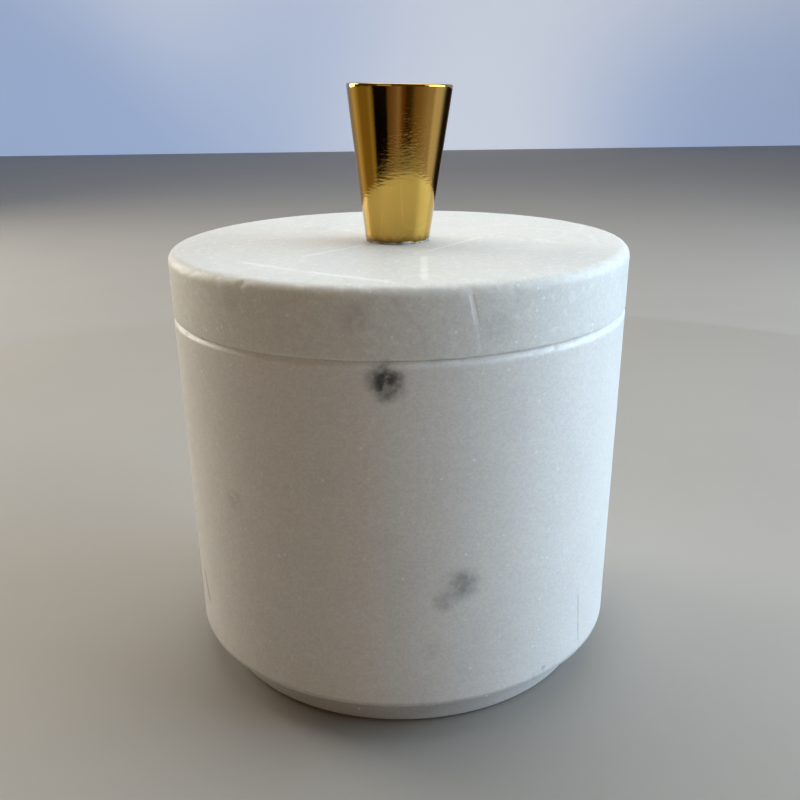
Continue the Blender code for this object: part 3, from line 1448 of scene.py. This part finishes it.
        # The foot and the band just above the ledge get painted shade, and the rim's outer edge gets a
        # painted highlight.
        return Marble(
            "jar marble", self.effects, spots, strokes,
            raw_radius=self.cavity_radius + 0.3 * MM, raw_height=self.rim - self.mouth_rounding,
            foot_shade_height=self.ledge + self.foot_shade_band, edge_highlight_height=self.rim - 0.5 * self.rim_chamfer,
        ).build()

    def shape_pad(self, node: str) -> bpy.types.Object:
        """Model one pad, which reaches up to the stone that it is stuck to.

        Args:
            node: the CAD pad that it stands for.

        Returns:
            The pad.
        """
        low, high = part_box(node)
        centre = (low + high) / 2.0
        radius = (high.x - low.x) / 2.0
        piece = add_cylinder(node.replace("base_pad", "foot_pad"), radius, low.z, self.underside, 64)
        with Bench(piece) as bench:
            bench.rings((radius, low.z))
            bench.bevel(0.25 * MM, 4)
            bench.rings((radius, self.underside))
            bench.bevel(0.10 * MM, 2)
            bench.cap(low.z)
            bench.inset(self.pad_inset)
            bpy.ops.mesh.select_all(action='SELECT')
            bpy.ops.transform.translate(value=(centre.x, centre.y, 0.0))
        return piece

    def build(self) -> None:
        """Model, dress and place the jar and its pads."""
        finish_piece(self.shape_body(), self.stone(), "jar", ["jar_body"])
        foam = Rubber("pad foam", self.effects, (0.035, 0.034, 0.032)).build()
        for number in range(1, 5):
            node = f"base_pad_{number}"
            finish_piece(self.shape_pad(node), foam, "jar", [node])


# ---------------------------------------------------------------------------------------------
# The lid
# ---------------------------------------------------------------------------------------------


@dataclass
class Lid:
    """The disc lid with the spigot that locates it in the mouth."""

    effects: Effects
    sides: int = 512
    wall_rows: int = 18
    face_rings: int = 6
    spigot_depth: float = 5.0 * MM
    spigot_inset: float = 8.8 * MM
    spigot_rounding: float = 0.6 * MM
    spigot_fillet: float = 0.4 * MM
    hole_radius: float = 2.3 * MM
    recess_radius: float = 6.6 * MM
    recess_depth: float = 5.5 * MM
    top_rounding: float = 2.1 * MM
    lower_rounding: float = 0.34 * MM
    seat_rise: float = 0.33 * MM
    wobble: float = 0.08 * MM
    chip_size: float = 1.5 * MM
    chip_depth: float = 0.20 * MM
    low: Vector = field(init=False)
    high: Vector = field(init=False)

    def __post_init__(self) -> None:
        """Take the lid's place and outer size from the frame."""
        self.low, self.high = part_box("lid")

    @property
    def radius(self) -> float:
        """The lid's outer radius."""
        return self.high.x

    @property
    def spigot_radius(self) -> float:
        """The spigot's outer radius."""
        return self.radius - self.spigot_inset

    @property
    def seat(self) -> float:
        """Height of the face that rests on the jar's rim."""
        return self.low.z + self.spigot_depth + self.seat_rise

    def shape(self) -> bpy.types.Object:
        """Model the lid from one cylinder.

        Returns:
            The lid.
        """
        top = self.high.z
        piece = add_cylinder("marble_lid", self.radius, self.seat, top, self.sides)
        with Bench(piece) as bench:
            bench.cap(self.seat)
            bench.inset(self.spigot_inset)
            bench.extrude(self.low.z - self.seat)
            bench.inset(self.spigot_radius - self.recess_radius)
            bench.extrude(self.recess_depth)
            bench.inset(self.recess_radius - self.hole_radius)
            bench.rings((self.radius, self.seat))
            bench.bevel(self.lower_rounding, 3)
            bench.rings((self.spigot_radius, self.low.z))
            bench.bevel(self.spigot_rounding, 3)
            bench.rings((self.spigot_radius, self.seat))
            bench.bevel(self.spigot_fillet, 2)
            bench.rings((self.radius, top))
            bench.bevel(self.top_rounding, 7)
            bench.uprights(self.seat + self.lower_rounding, top - self.top_rounding, self.radius, self.radius)
            bench.divide(self.wall_rows - 1)
            bench.cap(top)
            ring_width = (self.radius - self.top_rounding - self.hole_radius) / self.face_rings
            for _ in range(self.face_rings):
                bench.inset(ring_width)
            bench.bore(self.low.z + self.recess_depth, top)
        self.work_by_hand(piece)
        return piece

    def work_by_hand(self, piece: bpy.types.Object) -> None:
        """Give the lid the slight unevenness, the small chips and the slope of hand finishing.

        Args:
            piece: the lid.
        """
        inner = self.radius - self.spigot_inset / 2.0
        lowest = self.seat + 0.05 * MM
        rounding = self.high.z - self.top_rounding

        def on_skin(co: Vector) -> bool:
            """Tell whether a vertex lies on the wall or the top face.

            Args:
                co: the vertex's place.

            Returns:
                True where it does.
            """
            return co.z > lowest and (co.xy.length > inner or co.z > rounding)

        skin = group_vertices(piece, "skin", on_skin)
        displace(piece, soft_texture("hand_faced", 30.0 * MM), self.wobble, 0.5, skin)
        upper = Edge(self.high.z, self.top_rounding)
        lower = Edge(self.seat, self.lower_rounding)
        knock_edges(piece, self.radius, upper, lower, self.chip_size, self.chip_depth)
        seat_top = self.seat + 1.3 * self.lower_rounding
        seat_inside = self.spigot_radius + 0.3 * MM
        with Bench(piece) as bench:
            bench.pick(Pick.VERTICES, lambda v: v.co.z < seat_top and v.co.xy.length > seat_inside)
            bench.slope(SEAM_SLOPE, self.seat)

    def on_top(self, x: float, y: float) -> Point:
        """Return a place on the top face, given in millimetres."""
        return (x * MM, y * MM, self.high.z)

    def stone(self) -> bpy.types.Material:
        """Dress the lid's stone with the veins that its top and front show, and a little more.

        Returns:
            The material.
        """
        crack_top = self.on_top(12.2, -46.0)
        strokes = (
            Stroke(self.on_top(-18.4, -34.6), self.on_top(0.2, -46.6), 1.1 * MM, 0.90),
            Stroke(self.on_top(-31.2, -24.6), self.on_top(-18.4, -34.6), 1.2 * MM, 0.60),
            Stroke(self.on_top(-19.8, -20.0), self.on_top(-7.2, -6.7), 0.9 * MM, 0.7),
            Stroke(self.on_top(5.2, -16.3), self.on_top(18.2, 1.9), 0.9 * MM, 0.7),
            Stroke(self.on_top(5.1, -19.7), self.on_top(4.5, -46.1), 1.0 * MM, 0.8),
            # The crack's strokes are painted pale: partly a pale vein, partly a painted highlight where the
            # crack's edge catches the light. Their cut gives the groove in the bump.
            Stroke(crack_top, mm(12.5, -48.6, 93.4), 0.7 * MM, 1.0, wander=0.2 * MM, cut=0.04),
            Stroke(mm(12.5, -48.5, 94.4), mm(13.7, -48.1, 88.4), 0.7 * MM, 1.0, wander=0.3 * MM, cut=0.075),
            Stroke(mm(13.7, -48.1, 88.6), mm(14.5, -47.9, 83.4), 0.35 * MM, 0.25, wander=0.3 * MM, cut=0.012),
        )
        spots = (
            Spot(mm(-7.7, -49.4, 90.4), 3.6 * MM, 0.20, 0.5),
            Spot(mm(-2.4, -50.0, 82.0), 1.6 * MM, 0.40, 0.3),
            Spot(mm(17.8, -46.7, 88.0), 3.8 * MM, 0.15, 0.6),
            Spot(mm(-31.0, -39.2, 91.6), 3.0 * MM, 0.12, 0.5),
            Spot(mm(28.0, 38.0, 90.0), 3.4 * MM, 0.25, 0.6),
            Spot(self.on_top(-20.0, 18.0), 5.0 * MM, 0.08, 0.6),
        )
        return Marble(
            "lid marble", self.effects, spots, strokes,
            raw_radius=self.spigot_radius + 0.6 * MM, raw_height=self.seat,
            light=(0.79, 0.79, 0.76), polish=0.46, veining=0.30, fleck=0.42,
        ).build()

    def build(self) -> None:
        """Model, dress and place the lid."""
        finish_piece(self.shape(), self.stone(), "lid", ["lid"])


# ---------------------------------------------------------------------------------------------
# The knob and what holds it
# ---------------------------------------------------------------------------------------------


@dataclass
class Knob:
    """The tapered brass knob, its screw and washers, and the cement that beds it on the stone."""

    effects: Effects
    sides: int = 192
    wall_rows: int = 41
    base_radius: float = 7.0 * MM
    bore_radius: float = 2.3 * MM
    bore_depth: float = 13.0 * MM
    top_rounding: float = 0.5 * MM
    base_rounding: float = 0.45 * MM
    lean: float = math.radians(1.6)
    offset: float = -0.22 * MM
    shank_radius: float = 2.0 * MM
    shank_rounding: float = 0.4 * MM
    thread_pitch: float = 0.7 * MM
    thread_turns: int = 20
    thread_depth: float = 0.35 * MM
    drive_length: float = 4.4 * MM
    drive_width: float = 1.0 * MM
    drive_depth: float = 1.3 * MM
    low: Vector = field(init=False)
    high: Vector = field(init=False)

    def __post_init__(self) -> None:
        """Take the knob's place and outer size from the frame."""
        self.low, self.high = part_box("knob")

    def shape_knob(self) -> bpy.types.Object:
        """Model the knob from one cone, and lean it a little.

        Returns:
            The knob.
        """
        deselect_all()
        bpy.ops.mesh.primitive_cone_add(
            vertices=self.sides, radius1=self.base_radius, radius2=self.high.x,
            depth=self.high.z - self.low.z, end_fill_type='NGON',
            location=(0.0, 0.0, (self.low.z + self.high.z) / 2.0),
        )
        piece = name_new_piece("brass_knob")
        with Bench(piece) as bench:
            bench.cap(self.low.z)
            bench.inset(self.base_radius - self.bore_radius)
            bench.extrude(self.bore_depth)
            bench.rings((self.base_radius, self.low.z))
            bench.bevel(self.base_rounding, 4)
            bench.rings((self.high.x, self.high.z))
            bench.bevel(self.top_rounding, 4)
            wall_low = self.low.z + 0.2 * MM
            wall_high = self.high.z - 0.2 * MM
            bench.uprights(wall_low, wall_high, 0.9 * self.base_radius, self.high.x)
            bench.divide(self.wall_rows - 1)
            bench.cap(self.high.z)
            for _ in range(3):
                bench.inset(2.6 * MM)
            bpy.ops.mesh.select_all(action='SELECT')
            bench.slope(-self.lean, self.low.z)
            bpy.ops.transform.translate(value=(self.offset, 0.0, 0.0))
        return piece

    def shape_bedding(self) -> bpy.types.Object:
        """Model the thin ragged collar of cement that squeezes out under the knob.

        Returns:
            The collar.
        """
        deselect_all()
        bpy.ops.mesh.primitive_torus_add(
            major_segments=240, minor_segments=12, major_radius=self.base_radius - 0.35 * MM,
            minor_radius=0.30 * MM, location=(0.0, 0.0, self.low.z - 0.08 * MM),
        )
        piece = name_new_piece("knob_bedding")
        skin = group_vertices(piece, "skin", lambda co: True)
        displace(piece, chip_texture("crumbs", 1.4 * MM, 0.42, 0.66), 0.42 * MM, 0.35, skin)
        return piece

    def shape_screw(self) -> bpy.types.Object:
        """Model the pan head screw, with its thread and cross recess.

        Returns:
            The screw.
        """
        low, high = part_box("knob_screw")
        washer_low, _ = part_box("screw_washer")
        head_radius = high.x
        head_top = washer_low.z - 0.05 * MM
        thread_high = high.z - self.shank_rounding
        piece = add_cylinder("machine_screw", head_radius, low.z, head_top, 64)
        with Bench(piece) as bench:
            bench.cap(head_top)
            bench.inset(head_radius - self.shank_radius)
            bench.extrude(high.z - head_top)
            bench.rings((self.shank_radius, high.z))
            bench.bevel(self.shank_rounding, 2)
            bench.rings((head_radius, low.z))
            bench.bevel(1.2 * MM, 6)
            bench.rings((head_radius, head_top))
            bench.bevel(0.15 * MM, 2)
            bench.uprights(head_top, thread_high, self.shank_radius, self.shank_radius)
            bench.divide(round((thread_high - head_top) / (self.thread_pitch / 2.0)) - 1)
            self.sink_roots(bench, thread_high - self.thread_turns * self.thread_pitch, thread_high)
        self.cut_recess(piece, low.z)
        return piece

    def sink_roots(self, bench: Bench, low: float, high: float) -> None:
        """Draw every other ring of the threaded length in, to the thread's root.

        Args:
            bench: the bench that the screw is on.
            low: where the thread starts.
            high: where it ends.
        """
        mesh = bmesh.from_edit_mesh(bench.piece.data)
        heights = sorted({
            round(v.co.z, 6) for v in mesh.verts
            if bench.near(v.co.xy.length, self.shank_radius) and low < v.co.z < high - 0.1 * MM
        })
        roots = set(heights[1::2])

        def at_root(vertex: bmesh.types.BMVert) -> bool:
            """Tell whether a vertex lies on a ring that becomes a root.

            Args:
                vertex: the vertex to test.

            Returns:
                True for such a vertex.
            """
            return round(vertex.co.z, 6) in roots and bench.near(vertex.co.xy.length, self.shank_radius)

        bench.pick(Pick.VERTICES, at_root)
        share = 1.0 - self.thread_depth / self.shank_radius
        bpy.ops.transform.resize(value=(share, share, 1.0), center_override=(0.0, 0.0, low))

    def cut_recess(self, screw: bpy.types.Object, underside: float) -> None:
        """Cut the cross recess into the head's underside.

        Args:
            screw: the screw.
            underside: height of the head's lowest face.
        """
        long, narrow = self.drive_length, self.drive_width
        for length, width in ((long, narrow), (narrow, long)):
            deselect_all()
            bpy.ops.mesh.primitive_cube_add(size=1.0, location=(0.0, 0.0, underside))
            bar = name_new_piece("recess_cutter")
            with Bench(bar):
                bpy.ops.mesh.select_all(action='SELECT')
                bpy.ops.transform.resize(
                    value=(length, width, 2.0 * self.drive_depth), center_override=(0.0, 0.0, underside),
                )
            make_active(screw)
            cut = screw.modifiers.new("Cross recess", 'BOOLEAN')
            cut.operation = 'DIFFERENCE'
            cut.solver = 'EXACT'
            cut.object = bar
            bpy.ops.object.modifier_apply(modifier=cut.name)
            bpy.data.objects.remove(bar, do_unlink=True)

    def shape_washer(self, name: str, node: str, rounding: float) -> bpy.types.Object:
        """Model a flat ring in the place of a CAD washer.

        Args:
            name: the piece's name.
            node: the CAD washer.
            rounding: rounding of its edges.

        Returns:
            The washer.
        """
        low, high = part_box(node)
        piece = add_cylinder(name, high.x, low.z, high.z, 96)
        with Bench(piece) as bench:
            for height in (low.z, high.z):
                bench.cap(height)
                bench.inset(high.x - self.bore_radius + 0.15 * MM)
            bench.bore(low.z, high.z)
            bench.rings((high.x, low.z), (high.x, high.z))
            bench.bevel(rounding, 3)
        return piece

    def build(self) -> None:
        """Model, dress and place the knob, the cement and the hardware."""
        brass = Brass("polished brass", self.effects, self.low.z).build()
        steel = Steel("plated steel", self.effects).build()
        cushion = Rubber("washer rubber", self.effects, (0.022, 0.022, 0.022)).build()
        cement = Cement("stone cement", self.effects).build()
        finish_piece(self.shape_knob(), brass, "lid", ["knob"], crease=40.0)
        finish_piece(self.shape_bedding(), cement, "lid")
        finish_piece(self.shape_screw(), steel, "lid", ["knob_screw"])
        steel_washer = self.shape_washer("steel_washer", "screw_washer", 0.15 * MM)
        finish_piece(steel_washer, steel, "lid", ["screw_washer"])
        soft_washer = self.shape_washer("soft_washer", "cushion_washer", 0.2 * MM)
        finish_piece(soft_washer, cushion, "lid", ["cushion_washer"])


# ---------------------------------------------------------------------------------------------
# The studio
# ---------------------------------------------------------------------------------------------


@dataclass(frozen=True)
class Lamp:
    """A soft area light that faces the jar."""

    name: str
    place: Point
    width: float
    height: float
    power: float
    colour: Point


@dataclass(frozen=True)
class Band:
    """One stop of the surround's colour, which runs on smoothly to the next one."""

    start: float                     # degrees to the right of the front, from -180 to 180
    colour: Point


@dataclass
class Studio:
    """A plain pale floor, soft lights and the camera."""

    aim: Point = (0.0, 0.0, 0.060)
    camera_distance: float = 0.2019
    camera_height: float = 0.1282
    camera_pitch: float = math.radians(22.29)
    camera_roll: float = math.radians(0.784)
    camera_turn: float = math.radians(0.085)
    lens: float = 40.39
    shift: float = 0.0625
    floor_size: float = 6.0
    floor_colour: Point = (0.385, 0.358, 0.325)
    world_colour: Point = (0.23, 0.17, 0.11)
    world_strength: float = 0.29
    backdrop_distance: float = 1.7
    backdrop_colour: Point = (0.40, 0.51, 0.75)
    backdrop_glow: float = 0.6
    surround_radius: float = 0.34
    surround_height: float = 0.11
    lamps: tuple[Lamp, ...] = (
        Lamp("window_light", (0.76, -0.01, 0.30), 0.7, 0.7, 9.4, (0.65, 0.83, 1.0)),
        Lamp("overhead_light", (0.05, 0.28, 0.85), 0.9, 0.7, 4.4, (1.0, 0.98, 0.89)),
        Lamp("back_light", (-0.70, 0.45, 0.32), 0.35, 0.6, 4.5, (1.0, 0.94, 0.80)),
        Lamp("fill_light", (-0.45, -0.70, 0.35), 0.5, 0.5, 0.50, (1.0, 0.66, 0.36)),
    )
    bands: tuple[Band, ...] = (
        # behind the set, dim
        Band(-180.0, (0.30, 0.28, 0.27)),
        Band(-140.0, (0.30, 0.26, 0.24)),
        # the sunlit wall at the left
        Band(-122.0, (0.62, 0.50, 0.30)),
        Band(-110.0, (0.44, 0.33, 0.17)),
        Band(-100.0, (0.25, 0.17, 0.05)),
        Band(-78.0, (0.24, 0.165, 0.05)),
        Band(-68.0, (0.36, 0.29, 0.14)),
        Band(-62.0, (0.16, 0.12, 0.05)),
        # the dark furniture at the front left
        Band(-58.0, (0.003, 0.002, 0.002)),
        Band(-30.0, (0.003, 0.002, 0.002)),
        # the room in front
        Band(-25.0, (0.14, 0.08, 0.06)),
        Band(-11.0, (0.22, 0.14, 0.11)),
        Band(-2.0, (0.31, 0.24, 0.23)),
        Band(6.0, (0.16, 0.075, 0.034)),
        Band(17.0, (0.04, 0.02, 0.008)),
        Band(26.0, (0.06, 0.035, 0.012)),
        Band(36.0, (0.19, 0.13, 0.07)),
        Band(52.0, (0.27, 0.19, 0.14)),
        # the window at the right
        Band(68.0, (0.38, 0.32, 0.34)),
        Band(80.0, (0.40, 0.36, 0.40)),
        Band(88.0, (0.68, 0.64, 0.74)),
        Band(106.0, (0.60, 0.60, 0.70)),
        Band(113.0, (0.34, 0.33, 0.40)),
        # the dark corner beyond it
        Band(121.0, (0.05, 0.05, 0.06)),
        Band(128.0, (0.012, 0.010, 0.010)),
        Band(150.0, (0.012, 0.010, 0.010)),
        Band(166.0, (0.30, 0.28, 0.27)),
    )

    def lay_floor(self) -> None:
        """Lay the pale floor that the jar stands on."""
        deselect_all()
        bpy.ops.mesh.primitive_plane_add(size=self.floor_size, location=(0.0, 0.0, 0.0))
        floor = name_new_piece("studio_floor")
        material, wire, shader, place = start_material("pale floor")
        mottled = wire.noise(place, 9.0, 4.0, 0.6)
        patches = wire.spread(mottled.outputs['Fac'], 0.3, 0.7, 0.0, 0.25)
        darker = tuple(0.86 * channel for channel in self.floor_colour)
        wire.feed(shader.inputs['Base Color'], wire.blend(patches, self.floor_colour, darker))
        shader.inputs['Roughness'].default_value = 0.62
        floor.data.materials.append(material)

    def face(self, obj: bpy.types.Object, place: Point) -> None:
        """Put an object at a place with its -Z side towards the jar.

        Args:
            obj: the object.
            place: where it hangs.
        """
        way = Vector(self.aim) - Vector(place)
        turned = way.to_track_quat('-Z', 'Y').to_matrix().to_4x4()
        obj.matrix_world = Matrix.Translation(place) @ turned

    def hang_lamps(self) -> None:
        """Hang the soft lights."""
        for lamp in self.lamps:
            light = bpy.data.lights.new(lamp.name, 'AREA')
            light.shape = 'RECTANGLE'
            light.size = lamp.width
            light.size_y = lamp.height
            light.energy = lamp.power
            light.color = lamp.colour
            obj = bpy.data.objects.new(lamp.name, light)
            bpy.context.scene.collection.objects.link(obj)
            self.face(obj, lamp.place)

    def stand_backdrop(self) -> None:
        """Stand the pale blue backdrop behind the set."""
        deselect_all()
        bpy.ops.mesh.primitive_plane_add(
            size=self.floor_size, location=(0.0, self.backdrop_distance, 0.0),
            rotation=(math.pi / 2.0, 0.0, 0.0),
        )
        backdrop = name_new_piece("studio_backdrop")
        material, wire, shader, place = start_material("blue backdrop")
        drift = wire.noise(place, 0.9, 1.0, 0.4)
        paler = tuple(0.5 + 0.5 * channel for channel in self.backdrop_colour)
        patches = wire.spread(drift.outputs['Fac'], 0.42, 0.62)
        colour = wire.blend(patches, self.backdrop_colour, paler)
        wire.feed(shader.inputs['Base Color'], colour)
        wire.feed(shader.inputs['Emission Color'], colour)
        shader.inputs['Emission Strength'].default_value = self.backdrop_glow
        shader.inputs['Roughness'].default_value = 0.9
        backdrop.data.materials.append(material)

    def stand_surround(self) -> None:
        """Stand a low ring of coloured bands around the set, which only glossy pieces mirror."""
        deselect_all()
        bpy.ops.mesh.primitive_cylinder_add(
            vertices=128, radius=self.surround_radius, depth=self.surround_height,
            end_fill_type='NOTHING', location=(0.0, 0.0, self.surround_height / 2.0),
        )
        ring = name_new_piece("studio_surround")
        ring.data.materials.append(self.paint_surround())
        ring.visible_camera = False
        ring.visible_diffuse = False
        ring.visible_shadow = False
        ring.visible_transmission = False

    def paint_surround(self) -> bpy.types.Material:
        """Paint the surround's bands around the turning axis.

        Returns:
            The material.
        """
        material, wire, shader, place = start_material("surround bands")
        across = wire.split(place)
        angle = wire.math('ARCTAN2', across['X'], wire.times(across['Y'], -1.0))
        turn = wire.plus(wire.over(angle, 2.0 * math.pi), 0.5)
        ramp = wire.add('ShaderNodeValToRGB')
        wire.feed(ramp.inputs[0], turn)
        stops = ramp.color_ramp.elements
        stops.remove(stops[1])
        stops[0].position = 0.0
        stops[0].color = (*self.bands[0].colour, 1.0)
        for band in self.bands[1:]:
            stops.new(band.start / 360.0 + 0.5).color = (*band.colour, 1.0)
        wire.feed(shader.inputs['Emission Color'], ramp.outputs['Color'])
        shader.inputs['Emission Strength'].default_value = 1.0
        shader.inputs['Base Color'].default_value = (0.0, 0.0, 0.0, 1.0)
        shader.inputs['Specular IOR Level'].default_value = 0.0
        return material

    def set_world(self) -> None:
        """Give the room an even, dim light."""
        world = bpy.data.worlds.new("studio")
        world.use_nodes = True
        background = world.node_tree.nodes["Background"]
        background.inputs['Color'].default_value = (*self.world_colour, 1.0)
        background.inputs['Strength'].default_value = self.world_strength
        bpy.context.scene.world = world

    def place_camera(self) -> None:
        """Place the camera close in front of the jar, a little above its lid."""
        camera = bpy.data.cameras.new("camera")
        camera.sensor_width = 36.0
        camera.lens = self.lens
        camera.shift_y = self.shift
        camera.clip_start = 0.01
        camera.clip_end = 50.0
        obj = bpy.data.objects.new("camera", camera)
        bpy.context.scene.collection.objects.link(obj)
        turn = Matrix.Rotation(self.camera_turn, 4, 'Z')
        tilt = Matrix.Rotation(math.pi / 2.0 - self.camera_pitch, 4, 'X')
        roll = Matrix.Rotation(-self.camera_roll, 4, 'Z')
        place = Matrix.Translation((0.0, -self.camera_distance, self.camera_height))
        obj.matrix_world = place @ turn @ tilt @ roll
        bpy.context.scene.camera = obj

    def build(self) -> None:
        """Set up the whole studio."""
        bpy.context.scene.view_settings.view_transform = 'Standard'
        self.lay_floor()
        self.set_world()
        self.hang_lamps()
        self.stand_backdrop()
        self.stand_surround()
        self.place_camera()


def main() -> None:
    """Build the studio and every piece of the jar, in order."""
    logging.basicConfig(level=logging.INFO, format="%(name)s: %(message)s")
    Studio().build()
    effects = Effects()
    Jar(effects).build()
    Lid(effects).build()
    Knob(effects).build()


if __name__ == "__main__":
    main()
